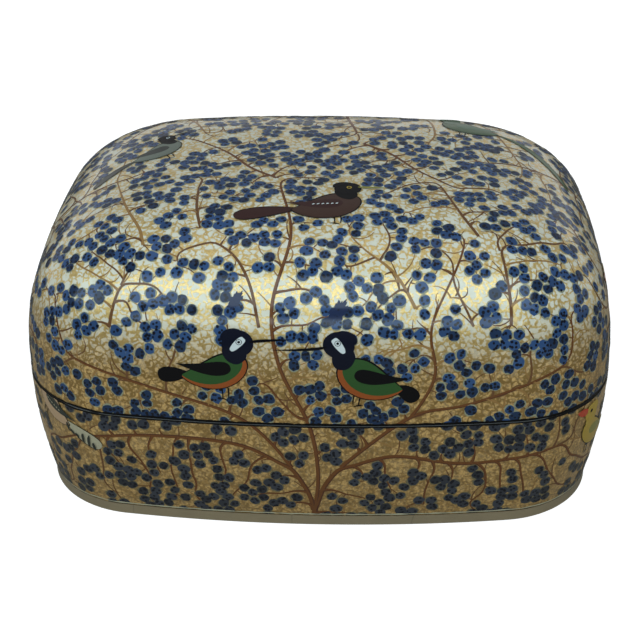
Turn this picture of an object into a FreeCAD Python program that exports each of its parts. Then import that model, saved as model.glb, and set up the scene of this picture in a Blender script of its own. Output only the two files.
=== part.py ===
import FreeCAD, Part
import math
import os

# A pillow-lidded box of papier mache: a hollow moulded lid dropped over a collar that is glued inside a
# hollow moulded base, on a flat foot board.
# Millimetres. The origin is the middle of the foot board's underside, +X along the box, +Y to the back, +Z up.

# Overall sizes, measured over the outside
length = 152.0
width = 114.0
height = 78.0
parting_height = 33.3

# The level outline at the rim: four sides bowed outwards, joined by four round corners
long_side_bow = 7.9
short_side_bow = 4.4
rim_corner_radius = 29.2

# The base's side is upright at the rim and curves in towards the foot
foot_draw_in = 3.65

# The foot board
foot_height = 3.1
foot_edge_break = 0.4

# The lid's side springs from a level below the parting, leans in and turns over into the crown
spring_drop = 7.3
crown_corner_radius = 25.5
dome_power = 3.7
crown_flat_share = 0.35
ceiling_flat_share = 0.5

# Moulded pulp
base_wall = 3.0
floor_thickness = 3.0
floor_bevel = 2.5
crown_thickness = 3.4
rim_edge_break = 0.4

# The collar, and the room that the lid has round it
collar_thickness = 2.0
collar_stand = 5.0
collar_bond = 9.0
collar_lead_in = 0.6
collar_lead_height = 1.2
lid_clearance = 0.3

# How far a cut runs past what it cuts
overrun = 1.0

# How finely the curved forms are drawn
OUTER_STRETCHES = 4
INNER_STRETCHES = 2
OUTER_STATIONS = 10
INNER_STATIONS = 8
STATION_SPREAD = 0.55

UPWARD = FreeCAD.Vector(0, 0, 1)


def arc_radius(half_chord, bow):
    """Radius of the arc that bows out by bow over a half chord."""
    return (half_chord ** 2 + bow ** 2) / (2 * bow)


def corner_between(centre_a, reach_a, centre_b, reach_b):
    """The point at reach_a from one centre and reach_b from the other, on the outer side of both."""
    span = centre_b - centre_a
    distance = span.Length
    along = (reach_a ** 2 - reach_b ** 2 + distance ** 2) / (2 * distance)
    across = math.sqrt(reach_a ** 2 - along ** 2)
    direction = span.normalize()
    outward = FreeCAD.Vector(direction.y, -direction.x, 0)
    return centre_a + direction * along + outward * across


def outline(z, offset=0.0, corner=rim_corner_radius, scale=1.0):
    """Closed level wire at height z: eight arcs, each tangent to the next.

    offset runs parallel inside the rim's outline, and scale shrinks the whole about the vertical axis.
    """
    long_radius = arc_radius(length / 2, long_side_bow)
    short_radius = arc_radius(width / 2, short_side_bow)
    long_centre = FreeCAD.Vector(0, width / 2 - long_radius, 0)
    short_centre = FreeCAD.Vector(length / 2 - short_radius, 0, 0)
    corner_centre = corner_between(long_centre, long_radius - corner, short_centre, short_radius - corner)
    to_long = (corner_centre - long_centre).normalize()
    to_short = (corner_centre - short_centre).normalize()
    to_corner = (to_long + to_short).normalize()
    quarter = [
        short_centre + to_short * (short_radius - offset),
        corner_centre + to_corner * (corner - offset),
        long_centre + to_long * (long_radius - offset),
    ]
    mirrored = [FreeCAD.Vector(-p.x, p.y, 0) for p in reversed(quarter)]
    long_middle = FreeCAD.Vector(0, width / 2 - offset, 0)
    short_middle = FreeCAD.Vector(offset - length / 2, 0, 0)
    half = quarter + [long_middle] + mirrored + [short_middle]
    points = half + [p * -1 for p in half] + half[:1]
    points = [FreeCAD.Vector(p.x * scale, p.y * scale, z) for p in points]
    arcs = [Part.Arc(*points[i : i + 3]).toShape() for i in range(0, len(points) - 1, 2)]
    return Part.Wire(arcs)


def at(inset, z):
    """A point of a section, by how far it lies inside the rim's outline and by its height."""
    return FreeCAD.Vector(-inset, 0, z)


def carried_round(section, caps=()):
    """Solid swept by a section of straight stretches that is carried round the rim's outline.

    Each of the outline's arcs turns the section about its own centre, so each face is a plane, cone or
    cylinder. A section that isn't closed takes flat caps, given by their inset and height.
    """
    profile = Part.makePolygon(section)
    faces = [Part.Face(outline(z, inset)) for inset, z in caps]
    for edge in outline(0.0).Edges:
        centre = edge.Curve.Center
        start = edge.valueAt(edge.FirstParameter)
        turn = math.degrees(edge.LastParameter - edge.FirstParameter)
        heading = math.degrees(math.atan2(start.y - centre.y, start.x - centre.x))
        placed = profile.copy()
        placed.Placement = FreeCAD.Placement(start, FreeCAD.Rotation(UPWARD, heading))
        faces += placed.revolve(centre, UPWARD, turn).Faces
    skin = Part.makeCompound(faces)
    skin.sewShape()
    solid = Part.Solid(skin.Shells[0])
    if solid.Volume < 0:
        solid.reverse()
    return solid


def base_side(offset, low, high, stretches):
    """Points up the base's curved side in section, run parallel inside by offset, from low to high.

    They lie on a circle that is upright at the parting and has drawn in by foot_draw_in at the foot.
    """
    radius = arc_radius(parting_height - foot_height, foot_draw_in)
    points = []
    for i in range(stretches + 1):
        z = low + (high - low) * i / stretches
        depth = parting_height - z
        points.append(at(radius - math.sqrt((radius - offset) ** 2 - depth ** 2), z))
    return points


def foot_board():
    """Flat board under the box, whose edge shows as the plain band at the foot."""
    under_inset = foot_draw_in + foot_edge_break
    section = [at(under_inset, 0.0), at(foot_draw_in, foot_edge_break), at(foot_draw_in, foot_height)]
    return carried_round(section, [(under_inset, 0.0), (foot_draw_in, foot_height)])


def base_shell():
    """Moulded base: a bowl with curved sides and a bevelled floor, its rim's outer edge broken.

    Inside, the wall is straight in section where the collar is glued to it.
    """
    floor_height = foot_height + floor_thickness
    bevel_top = floor_height + floor_bevel
    outside = base_side(0.0, foot_height, parting_height - rim_edge_break, OUTER_STRETCHES)
    inside = base_side(base_wall, bevel_top, parting_height - collar_bond, INNER_STRETCHES)
    floor_inset = floor_bevel - inside[0].x
    rim = [at(rim_edge_break, parting_height), at(base_wall, parting_height)]
    section = outside + rim + inside[::-1] + [at(floor_inset, floor_height)]
    return carried_round(section, [(foot_draw_in, foot_height), (floor_inset, floor_height)])


def locating_collar():
    """Thin band glued inside the base's rim, which stands up into the lid and leans in at its top."""
    bottom = parting_height - collar_bond
    top = parting_height + collar_stand
    section = [
        *base_side(base_wall, bottom, parting_height, 1),
        at(base_wall, top - collar_lead_height),
        at(base_wall + collar_lead_in, top),
        at(base_wall + collar_thickness, top),
        at(base_wall + collar_thickness, bottom),
    ]
    return carried_round(section + section[:1])


def dome_partner(share):
    """The rise that goes with a scale on the dome's curve, or the scale that goes with a rise."""
    return (1 - share ** dome_power) ** (1 / dome_power)


def dome_outlines(low, top, flat_share, stations, offset):
    """Level outlines of the dome, from height low to its flat top, as the rim's outline shrunk inwards.

    Scale and rise follow a superellipse: scale^power + rise^power = 1, with the rise counted from the
    spring level. The stations crowd towards the shoulder, where the curve turns most.
    """
    spring_height = parting_height - spring_drop
    full_rise = (top - spring_height) / dome_partner(flat_share)
    first_rise = (low - spring_height) / full_rise
    first_lean = math.atan((first_rise / dome_partner(first_rise)) ** (1 / STATION_SPREAD))
    last_lean = math.atan((dome_partner(flat_share) / flat_share) ** (1 / STATION_SPREAD))
    wires = []
    for i in range(stations + 1):
        lean = first_lean + (last_lean - first_lean) * i / stations
        steepness = math.tan(lean) ** STATION_SPREAD
        scale = (1 + steepness ** dome_power) ** (-1 / dome_power)
        rise = steepness * scale
        corner = rim_corner_radius + (crown_corner_radius - rim_corner_radius) * rise ** dome_power
        wires.append(outline(spring_height + full_rise * rise, offset, corner, scale))
    return wires


def lid_shell():
    """Moulded lid: a hollow pillow dome of even wall, open below, its rim's outer edge broken."""
    side_start = parting_height + rim_edge_break
    outside = [outline(parting_height, rim_edge_break)]
    outside += dome_outlines(side_start, height, crown_flat_share, OUTER_STATIONS, 0.0)
    ceiling = height - crown_thickness
    lid_wall = base_wall - lid_clearance
    inside = dome_outlines(parting_height - overrun, ceiling, ceiling_flat_share, INNER_STATIONS, lid_wall)
    return Part.makeLoft(outside, True, True).cut(Part.makeLoft(inside, True, True))


PIECES = {
    "foot_board": foot_board,
    "base_shell": base_shell,
    "locating_collar": locating_collar,
    "lid_shell": lid_shell,
}

os.makedirs("parts", exist_ok=True)
for node, make in PIECES.items():
    shape = make()
    print(node, "valid", shape.isValid(), "solids", len(shape.Solids), "cm3", round(shape.Volume / 1000, 2))
    shape.exportStep("parts/" + node + ".step")
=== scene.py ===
import math
from functools import lru_cache

import bpy
import numpy as np
from mathutils import Matrix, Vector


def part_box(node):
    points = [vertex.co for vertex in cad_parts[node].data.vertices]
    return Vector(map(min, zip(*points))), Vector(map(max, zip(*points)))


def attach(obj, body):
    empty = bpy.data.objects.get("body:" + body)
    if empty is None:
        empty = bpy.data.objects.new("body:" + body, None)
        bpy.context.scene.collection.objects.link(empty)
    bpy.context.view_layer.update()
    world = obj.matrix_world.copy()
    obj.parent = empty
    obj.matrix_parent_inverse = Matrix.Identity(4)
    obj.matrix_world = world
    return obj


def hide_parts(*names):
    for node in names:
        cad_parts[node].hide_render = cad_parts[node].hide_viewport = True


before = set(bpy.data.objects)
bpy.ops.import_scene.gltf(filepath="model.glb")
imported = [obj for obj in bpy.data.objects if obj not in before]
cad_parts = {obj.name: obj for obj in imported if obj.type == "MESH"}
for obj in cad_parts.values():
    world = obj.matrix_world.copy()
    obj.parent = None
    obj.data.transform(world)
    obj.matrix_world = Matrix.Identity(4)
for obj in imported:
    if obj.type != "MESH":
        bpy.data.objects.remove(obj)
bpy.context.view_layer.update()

bl_info = {
    "name": "Painted Papier Mache Box",
    "version": (1, 0, 0),
    "blender": (4, 5, 0),
    "location": "View3D > Sidebar > Papier Mache Box",
    "description": "Lacquered papier mache box with gold line work, blossoms, twigs and birds",
    "category": "Add Mesh",
}

# One millimetre in scene units. Shapes are worked out in millimetres and turned to metres in their mesh.
MM = 0.001
TINY = 1e-9

BASE = "base"
LID = "lid"

# Heights that the frame gives
FOOT_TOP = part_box("foot_board")[1][2]
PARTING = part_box("lid_shell")[0][2]
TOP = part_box("lid_shell")[1][2]
COLLAR_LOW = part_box("locating_collar")[0][2]
COLLAR_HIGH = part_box("locating_collar")[1][2]

# How finely the shells are drawn
COLUMNS = 360
CROWN_ROWS = 34
SIDE_ROWS = 26
BASE_ROWS = 14
INNER_ROWS = 6

# The scale at a dome's innermost ring, and where the lid's ceiling turns flat
FIRST_RING = 0.02
CEILING_FLAT_SHARE = 0.5

# How high each coat of paint stands over the ground, in millimetres
TWIG_LIFT = 0.03
HALO_LIFT = 0.045
DISC_LIFT = 0.065
DOT_LIFT = 0.09
LINE_LIFT = 0.10
BIRD_LIFT = 0.11
LAYER = 0.012

# Weight of the varnish's coat on most paints, on the deepest ones and on the black lines
VARNISH = 0.46
DEEP_VARNISH = 0.2
LINE_VARNISH = 0.12

# The painter's plan, in millimetres: how many places are tried for clusters, and how far the middles of
# clusters and blossoms keep from stems, boughs and birds
PLACES_TRIED = 7500
CLUSTERS_OFF_STEMS = 2.2
CLUSTERS_OFF_BIRDS = 3.6
BLOSSOMS_OFF_STEMS = 1.7
BLOSSOMS_OFF_BOUGHS = 1.2
BLOSSOMS_OFF_BIRDS = 2.2

# How blossoms lie in a cluster, in shares of the way from one to the next, and the share of them painted
CLUSTER_SWAY = 0.09
CLOSEST_SHARE = 0.84
KEPT_SHARE = 0.92

# How twigs grow: the length of a step and the distance that counts as reached, in millimetres, the pulls
# upwards and onwards beside the targets' pull of 1, the sway, and the most rounds
STEP = 1.3
REACHED = 1.5
UPWARD_PULL = 0.3
ONWARD_PULL = 0.75
GROWTH_SWAY = 0.25
GROWTH_ROUNDS = 170

# A twig's width is the finest width times its load to this power. Above the thick width, in millimetres, it
# is painted in rust, with a dark edge over a share of its width.
WIDTH_POWER = 0.27
THICK = 0.85
SHADE_SHARE = 0.55

# Chains of fewer nodes than this aren't painted. A twig's width is evened out in so many rounds and ends at
# a share of itself, and every third thin one is ochre. The ridge of a twig and the dark edge of a thick one
# stand this much over its sides, in millimetres.
SHORTEST_CHAIN = 3
WIDTH_ROUNDS = 6
TIP_SHARE = 0.5
OCHRE_EVERY = 3
RIDGE_RISE = 0.03
SHADE_RISE = 0.02

# Stalks and sprigs, in millimetres, and the share of the sprigs that each body gets. Then how far a stroke
# bows as a share of its length, how a sprig's heading strays in radians, and how much a stroke narrows.
LONGEST_STALK = 9.0
STALK_WIDTH = 0.36
SPRIG_WIDTH = 0.46
SPRIG_LENGTHS = (3.0, 8.0)
SPRIGS_OFF_BIRDS = 2.5
SPRIGS_OFF_PARTING = 0.8
SPRIG_SHARES = {BASE: 0.28, LID: 0.72}
STALK_BOW = 0.07
SPRIG_BOW = 0.16
SPRIG_STRAY = 0.9
STROKE_TAPER = 0.6
STROKE_POINTS = 6

# Of the blossoms a least share is deep blue. On the lid, more and more are from this height down, over the
# stretch below it, in millimetres, as painted shade on the lid's lower front.
DEEP_FROM = 58.0
DEEP_OVER = 22.0
LEAST_DEEP = 0.15
MORE_DEEP = 0.8

# Shares that turn a blossom's blue into the body's deep blue and the light one, and its size into others
DEEP_SHARES = {BASE: 0.7, LID: 0.5}
LIGHT_SHARE = 1.3
BLOSSOM_SIZES = (0.88, 1.1)
DISC_CORNERS = 12

# How uneven the edges of blossoms, halos and dots are, how oval they are, as shares of their radius, and how
# much higher one blossom may lie than another, in millimetres
DISC_EDGE = 0.075
HALO_EDGE = 0.03
DOT_EDGE = 0.08
OVALNESS = 0.07
LIFT_SPREAD = 0.008

# Dots on a blossom: the most, the ones that each has, the chance of any other, the turn in radians from one
# to the next and its sway, their places and sizes in shares of the blossom's radius and of the usual dot's,
# and the radians that a millimetre of the blossom's radius turns them all by
MOST_DOTS = 5
SURE_DOTS = 3
DOT_CHANCE = 0.5
DOT_TURN = 2.4
DOT_SWAY = 0.5
DOT_PLACES = (0.25, 0.82)
DOT_SIZES = (0.75, 1.15)
DOT_CORNERS = 6
TURN_BY_SIZE = 40

# Lines round the rims and the foot: how many points they have, and how far their edges sway, in millimetres
LINE_POINTS = 721
LINE_SWAY = 0.10

# The dark and the pale line over the foot, from and to these heights over it, and the height over the foot
# up to which a line's lower edge stays even, in millimetres
DARK_LINE_AT = (0.05, 0.4)
PALE_LINE_AT = (0.55, 0.9)
EVEN_UP_TO = 0.5

# Sine waves that a line's uneven edge is the sum of: how many there are, the fewest periods that one has
# round the box, what its periods stay under on a lower and on an upper edge, and what divides the sum
EDGE_WAVES = 14
FEWEST_PERIODS = 6
LOWER_EDGE_PERIODS = 90
UPPER_EDGE_PERIODS = 160
EDGE_PEAK = 5

# Paints that have no place in the panel
PALE_LINE = "#A9A48C"
DARK_LINE = "#2C2A22"
DARK_UMBER = "#4A2A1C"
OCHRE_BROWN = "#85643A"
CRACK_COLOUR = "#4A4436"

# Heights in millimetres over which the warm wash towards the foot, which is painted shade and painted warm
# reflected light, gives way to gesso, and the faint lines get their full strength, and the share of its
# colour that the wash has at its darkest
WARM_SHADE_HEIGHTS = (44.0, 64.0)
FAINT_LINES = (22.0, 42.0)
DARKEST_SHADE_SHARE = 0.42

# Seeds of the draws that each step of the painting makes of its own
LINES_SEED = 3
TWIGS_SEED = 4
DISCS_SEED = 5
BLOSSOMS_SEED = 6

# The stage. Each softbox has its name, place and size in metres, its power in watts and its colour.
LAMPS_AIM = (0.0, 0.0, 0.05)
SOFTBOXES = (
    ("window_softbox", (0.05, -0.41, 0.49), (0.9, 0.38), 3.8, (0.76, 0.93, 1.0)),
    ("low_window_strip", (0.03, -0.60, 0.21), (0.64, 0.07), 0.65, (0.75, 0.92, 1.0)),
    ("left_window_softbox", (-0.48, -0.26, 0.33), (0.3, 0.24), 0.8, (0.76, 0.93, 1.0)),
    ("overhead_softbox", (0.0, 0.05, 0.75), (0.5, 0.4), 0.4, (1.0, 1.0, 1.0)),
)
ROOM_LIGHT = 0.2
FLOOR_GLOSS_SHARE = 0.06
FLOOR_DROP = 0.2 * MM
FLOOR_CORNERS = 64
FLOOR_REACHES = (0.2, 0.8, 3.0)

# Paper as the object sees it and as the camera does. Its own glow rises to 1 over a stretch in metres from
# the middle, so that only the part near the box takes its shadow.
PAPER = (0.34, 0.29, 0.22, 1.0)
SHADED_PAPER = (0.45, 0.45, 0.45, 1.0)
GLOW_OVER = (0.15, 0.6)
LEAST_GLOW = 0.86


def linear(hex_colour):
    """sRGB hex to linear: c / 12.92 up to 0.04045, and ((c + 0.055) / 1.055) ^ 2.4 above it."""
    parts = np.array([int(hex_colour[i : i + 2], 16) for i in (1, 3, 5)]) / 255
    parts = np.where(parts <= 0.04045, parts / 12.92, ((parts + 0.055) / 1.055) ** 2.4)
    return tuple(float(part) for part in parts)


def length_property(name, description, default):
    return bpy.props.FloatProperty(
        name=name, description=description, default=default, min=0.0, precision=5,
        subtype="DISTANCE", unit="LENGTH",
    )


def colour_property(name, description, hex_colour):
    return bpy.props.FloatVectorProperty(
        name=name, description=description, default=linear(hex_colour), min=0.0, max=1.0, size=3,
        subtype="COLOR",
    )


class BoxShape(bpy.types.PropertyGroup):
    """Sizes of the moulded box"""

    length: length_property("Length", "Over the rims, from end to end", 152 * MM)
    width: length_property("Width", "Over the rims, from front to back", 114 * MM)
    height: length_property("Height", "From the table to the crown", TOP)
    parting: length_property("Parting height", "Where the lid meets the base", PARTING)
    foot: length_property("Foot height", "Height of the foot board's edge", FOOT_TOP)
    long_bow: length_property("Long side bow", "How far the long sides bow out", 7.9 * MM)
    short_bow: length_property("Short side bow", "How far the short sides bow out", 4.4 * MM)
    rim_corner: length_property("Rim corner radius", "Corner radius at the parting", 29.2 * MM)
    crown_corner: length_property("Crown corner radius", "Corner radius that the dome tends to", 25.5 * MM)
    draw_in: length_property("Foot draw-in", "How far the base's side curves in to the foot", 3.65 * MM)
    spring_drop: length_property("Spring drop", "How far below the parting the dome springs", 7.3 * MM)
    wall: length_property("Wall", "Thickness of the moulded wall", 3.0 * MM)
    crown_wall: length_property("Crown thickness", "Thickness at the crown", 3.4 * MM)
    clearance: length_property("Lid clearance", "Room between the collar and the lid", 0.3 * MM)
    floor: length_property("Floor thickness", "Thickness of the base's floor", 3.0 * MM)
    bevel: length_property("Floor bevel", "Bevel between the wall and the floor", 2.5 * MM)
    edge_break: length_property("Edge break", "Break on the rims' and foot's edges", 0.4 * MM)
    collar: length_property("Collar thickness", "Thickness of the locating collar", 2.0 * MM)
    lead_in: length_property("Collar lead-in", "How far the collar's top leans in", 0.6 * MM)
    lead_height: length_property("Collar lead height", "Height of the collar's leaning top", 1.2 * MM)
    dome_power: bpy.props.FloatProperty(
        name="Dome power", description="Power of the dome's superellipse", default=3.7, min=2.0, max=8.0
    )


class BoxOrnament(bpy.types.PropertyGroup):
    """Sizes of the painted ornament"""

    blossom: length_property("Blossom", "Across a painted blossom", 2.74 * MM)
    halo: length_property("Halo", "Pale rim left round each blossom", 0.22 * MM)
    dot: length_property("Dot", "Across a blossom's dark dots", 0.78 * MM)
    cluster_gap: length_property("Cluster gap", "Least distance between clusters", 5.3 * MM)
    blossom_gap: length_property("Blossom gap", "From one blossom of a cluster to the next", 2.62 * MM)
    twig: length_property("Twig width", "Width of the finest twigs", 0.42 * MM)
    sprigs: bpy.props.IntProperty(name="Sprigs", description="How many bare sprigs", default=900, min=0)
    trunk: length_property("Trunk width", "Width of the main stems at their root", 1.9 * MM)
    gold_pitch: length_property("Gold pitch", "From one gold line to the next", 1.7 * MM)
    rim_line: length_property("Rim line", "Height of each black line at the parting", 0.62 * MM)
    seed: bpy.props.IntProperty(name="Seed", description="Starts the painter's hand", default=11, min=0)


class BoxColours(bpy.types.PropertyGroup):
    """Colours of the paints and the lacquer"""

    ground: colour_property("Ground", "Pale silvery body colour under the gold", "#C4C1B1")
    gold: colour_property("Gold", "Gold line work", "#CBAE70")
    # Painted shade and painted warm reflected light: the darker warm colour washed over the body towards the
    # foot
    warm_shade_wash: colour_property("Gold dust", "Dusting towards the foot", "#B58D4E")
    blossom: colour_property("Lid blossom", "Blue of the lid's blossoms", "#233A5C")
    # Painted shade and painted warm reflected light: the base's blossoms are a duller, greyer copy of the
    # lid's blue
    base_blossom_in_shade: colour_property("Base blossom", "Duller blue of the base's blossoms", "#2A2D35")
    halo: colour_property("Lid halo", "Drab grey round the lid's blossoms", "#7C7C68")
    # Painted shade and painted warm reflected light: the base's halos are a darker, browner copy of the
    # lid's
    base_halo_in_shade: colour_property("Base halo", "Drab rim round the base's blossoms", "#625A43")
    ink: colour_property("Ink", "Dots, outlines and crests", "#090D18")
    rust: colour_property("Rust", "Main stems", "#5E391D")
    umber: colour_property("Umber", "Twigs", "#5C3E26")
    lacquer: colour_property("Lacquer", "Black inside and at the rims", "#0B0A0A")
    foot: colour_property("Foot", "Paint on the foot board's edge", "#7A6C55")


class BoxForm:
    """The box's surfaces as formulas, in millimetres."""

    def __init__(self, shape):
        for name in shape.__annotations__:
            if name != "dome_power":
                setattr(self, name, getattr(shape, name) / MM)
        self.power = shape.dome_power
        self.spring = self.parting - self.spring_drop
        self.long_radius = arc_radius(self.length / 2, self.long_bow)
        self.short_radius = arc_radius(self.width / 2, self.short_bow)
        self.long_centre = self.width / 2 - self.long_radius
        self.short_centre = self.length / 2 - self.short_radius
        self.side_radius = arc_radius(self.parting - self.foot, self.draw_in)

    def reach(self, x, y, inset=0.0, corner=None):
        """Distance from the upright axis to the rim's outline in the level direction of (x, y).

        A ray along the unit vector u from the axis leaves a circle of centre c and radius r at
        u.c + sqrt((u.c)^2 - c.c + r^2). The circle is the long side's, the corner's or the short side's,
        whichever has the ray between its tangent points.
        """
        corner = self.rim_corner if corner is None else corner
        size = np.maximum(np.hypot(x, y), TINY)
        u = np.abs(x) / size
        v = np.abs(y) / size
        to_long = self.long_radius - corner
        to_short = self.short_radius - corner
        span = math.hypot(self.short_centre, self.long_centre)
        along = (to_long**2 - to_short**2 + span**2) / (2 * span)
        across = np.sqrt(to_long**2 - along**2)
        corner_x = (self.short_centre * along - self.long_centre * across) / span
        corner_y = self.long_centre - (self.long_centre * along + self.short_centre * across) / span
        long_share = (self.long_radius - inset) / to_long
        short_share = (self.short_radius - inset) / to_short
        long_end = self.long_centre + (corner_y - self.long_centre) * long_share
        short_end = self.short_centre + (corner_x - self.short_centre) * short_share
        on_long = v * corner_x * long_share > u * long_end
        on_short = v * short_end < u * corner_y * short_share
        centre_x = np.where(on_long, 0.0, np.where(on_short, self.short_centre, corner_x))
        centre_y = np.where(on_long, self.long_centre, np.where(on_short, 0.0, corner_y))
        radius = np.where(on_long, self.long_radius, np.where(on_short, self.short_radius, corner)) - inset
        along_ray = u * centre_x + v * centre_y
        return along_ray + np.sqrt(along_ray**2 - centre_x**2 - centre_y**2 + radius**2)

    def base_inset(self, z, offset=0.0):
        """How far the base's side is inside the outline: R - sqrt((R - offset)^2 - (parting - z)^2)."""
        return self.side_radius - np.sqrt((self.side_radius - offset) ** 2 - (self.parting - z) ** 2)

    def dome_corner(self, rise):
        """Corner radius at a rise on the dome, which goes from the rim's to the crown's as rise^power."""
        return self.rim_corner + (self.crown_corner - self.rim_corner) * rise**self.power

    def level(self, points, body):
        """A number that is 1 on the body's outside, less inside it and more outside it.

        On the lid it is (k^m + r^m)^(1/m), with k the distance from the axis over the outline's reach, r
        the height above the spring over the dome's full rise, and m the dome's power. On the base it is
        the distance from the axis over the reach of the outline at that height.
        """
        x, y, z = points[..., 0], points[..., 1], points[..., 2]
        distance = np.hypot(x, y)
        if body == BASE:
            return distance / self.reach(x, y, self.base_inset(z))
        rise = np.maximum(z - self.spring, 0.0) / (self.height - self.spring)
        value = 1.0
        for _ in range(3):
            corner = self.dome_corner(np.clip(rise / value, 0.0, 1.0))
            share = distance / self.reach(x, y, 0.0, corner)
            value = (share**self.power + rise**self.power) ** (1 / self.power)
        return value

    def settle(self, points, body):
        """Points moved onto the body's outside, towards the spring's middle on the lid, level on the base.

        They are kept on their own side of the parting and above the foot.
        """
        settled = np.array(points, dtype=float)
        seam = self.edge_break * 0.5
        if body == LID:
            settled[..., 2] = np.maximum(settled[..., 2], self.parting + seam)
            middle = np.array([0.0, 0.0, self.spring])
            settled = middle + (settled - middle) / self.level(settled, LID)[..., None]
            settled[..., 2] = np.maximum(settled[..., 2], self.parting + seam)
        else:
            settled[..., 2] = np.clip(settled[..., 2], self.foot + seam, self.parting - seam)
            settled[..., :2] /= self.level(settled, BASE)[..., None]
        return settled

    def settle_either(self, points):
        """Points moved onto the outside of whichever body they are level with."""
        on_lid = points[..., 2:3] >= self.parting
        return np.where(on_lid, self.settle(points, LID), self.settle(points, BASE))

    def normals(self, points, body):
        """Unit normals: the slope of level() along each axis, by central differences."""
        step = 0.02
        slopes = []
        for axis in range(3):
            shift = np.zeros(3)
            shift[axis] = step
            slopes.append(self.level(points + shift, body) - self.level(points - shift, body))
        slopes = np.stack(slopes, axis=-1)
        return slopes / np.linalg.norm(slopes, axis=-1, keepdims=True)

    def normals_either(self, points):
        on_lid = points[..., 2:3] >= self.parting
        return np.where(on_lid, self.normals(points, LID), self.normals(points, BASE))


def arc_radius(half_chord, bow):
    """Radius of the arc that bows out by bow over a half chord: (h^2 + b^2) / 2b."""
    return (half_chord**2 + bow**2) / (2 * bow)


def read_form():
    return BoxForm(bpy.context.scene.papier_box_shape)


def read_ornament():
    return bpy.context.scene.papier_box_ornament


def read_colours():
    return bpy.context.scene.papier_box_colours


# Meshes


def level_ring(form, z, inset=0.0, scale=1.0, corner=None):
    """Ring of points at height z on the outline, run parallel inside by inset and then scaled."""
    turn = np.linspace(0.0, 2 * np.pi, COLUMNS, endpoint=False)
    x, y = np.cos(turn), np.sin(turn)
    distance = form.reach(x, y, inset, corner) * scale
    return np.stack([x * distance, y * distance, np.full(COLUMNS, float(z))], axis=-1)


def skin_over(rings, poles=(), joined=False):
    """Points and faces over a stack of rings.

    Ring i and ring i + 1 are joined by quads. Poles close the first and last ring with fans, or the last
    ring is joined to the first. The faces are turned round where they enclose a negative volume.
    """
    points = np.concatenate(rings)
    index = np.arange(len(points)).reshape(len(rings), COLUMNS)
    beside = np.roll(index, -1, axis=1)
    if joined:
        index = np.vstack([index, index[:1]])
        beside = np.vstack([beside, beside[:1]])
    quads = np.stack([index[:-1], beside[:-1], beside[1:], index[1:]], axis=-1).reshape(-1, 4)
    faces = [quads]
    for pole, row, side in zip(poles, (0, -1), (1, -1)):
        tip = np.full(COLUMNS, len(points))
        points = np.vstack([points, pole])
        faces.append(np.stack([tip, beside[row], index[row]][::side], axis=-1))
    volume = sum(
        np.einsum("ij,ij->", points[f[:, 0]], np.cross(points[f[:, i]], points[f[:, i + 1]]))
        for f in faces
        for i in range(1, f.shape[1] - 1)
    )
    if volume < 0:
        faces = [f[:, ::-1] for f in faces]
    return points, faces


def make_piece(name, body, points, faces, materials, slots=None, normals=None, stands_for=()):
    """Object from points in millimetres and arrays of faces, riding on its body."""
    mesh = bpy.data.meshes.new(name)
    mesh.from_pydata(points * MM, [], [face for group in faces for face in group.tolist()])
    count = len(mesh.polygons)
    mesh.polygons.foreach_set("use_smooth", np.ones(count, dtype=bool))
    for material in materials:
        mesh.materials.append(material)
    if slots is not None:
        mesh.polygons.foreach_set("material_index", np.asarray(slots, dtype=np.int32))
    if normals is None:
        mesh.set_sharp_from_angle(angle=math.radians(35))
    else:
        mesh.normals_split_custom_set_from_vertices(normals)
    mesh.update()
    piece = bpy.data.objects.new(name, mesh)
    bpy.context.scene.collection.objects.link(piece)
    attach(piece, body)
    if stands_for:
        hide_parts(*stands_for)


class Painting:
    """Gathers painted patches for one body and makes them one piece."""

    def __init__(self, form, body):
        self.form = form
        self.body = body
        self.points = []
        self.normals = []
        self.faces = []
        self.slots = []
        self.materials = []
        self.count = 0

    def add(self, points, faces, material, lift):
        """Points near the surface are settled on it and lifted along its normals, each by its own lift."""
        settled = self.form.settle(points, self.body).reshape(-1, 3)
        normals = self.form.normals(settled, self.body)
        lift = np.broadcast_to(np.asarray(lift, dtype=float).reshape(-1, 1), (len(settled), 1))
        self.points.append(settled + normals * lift)
        self.normals.append(normals)
        self.faces.append(self.outward(settled, normals, faces) + self.count)
        if material not in self.materials:
            self.materials.append(material)
        self.slots.append(np.full(len(faces), self.materials.index(material)))
        self.count += len(settled)

    @staticmethod
    def outward(points, normals, faces):
        """Faces turned round where the cross product of their diagonals points against the normal."""
        last = faces.shape[1] - 1
        first_diagonal = points[faces[:, last - 1]] - points[faces[:, 0]]
        second_diagonal = points[faces[:, last]] - points[faces[:, (last - 1) // 2]]
        facing = (np.cross(first_diagonal, second_diagonal) * normals[faces[:, 0]]).sum(-1)
        return np.where(facing[:, None] < 0, faces[:, ::-1], faces)

    def make(self, name):
        make_piece(
            name, self.body, np.concatenate(self.points), self.faces, self.materials,
            slots=np.concatenate(self.slots), normals=np.concatenate(self.normals),
        )


def grid_faces(rows, columns, copies=1):
    """Quads of a grid of rows by columns points, repeated for a number of copies."""
    index = np.arange(rows * columns).reshape(rows, columns)
    corners = [index[:-1, :-1], index[:-1, 1:], index[1:, 1:], index[1:, :-1]]
    quads = np.stack(corners, axis=-1).reshape(-1, 4)
    shift = np.arange(copies)[:, None, None] * rows * columns
    return (quads[None] + shift).reshape(-1, 4)


def fan_faces(corners, copies):
    """Triangles from point 0 to each side of a ring of corners, repeated for a number of copies."""
    ring = np.arange(corners) + 1
    fan = np.stack([np.zeros(corners, dtype=int), ring, np.roll(ring, -1)], axis=-1)
    shift = np.arange(copies)[:, None, None] * (corners + 1)
    return (fan[None] + shift).reshape(-1, 3)


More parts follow.
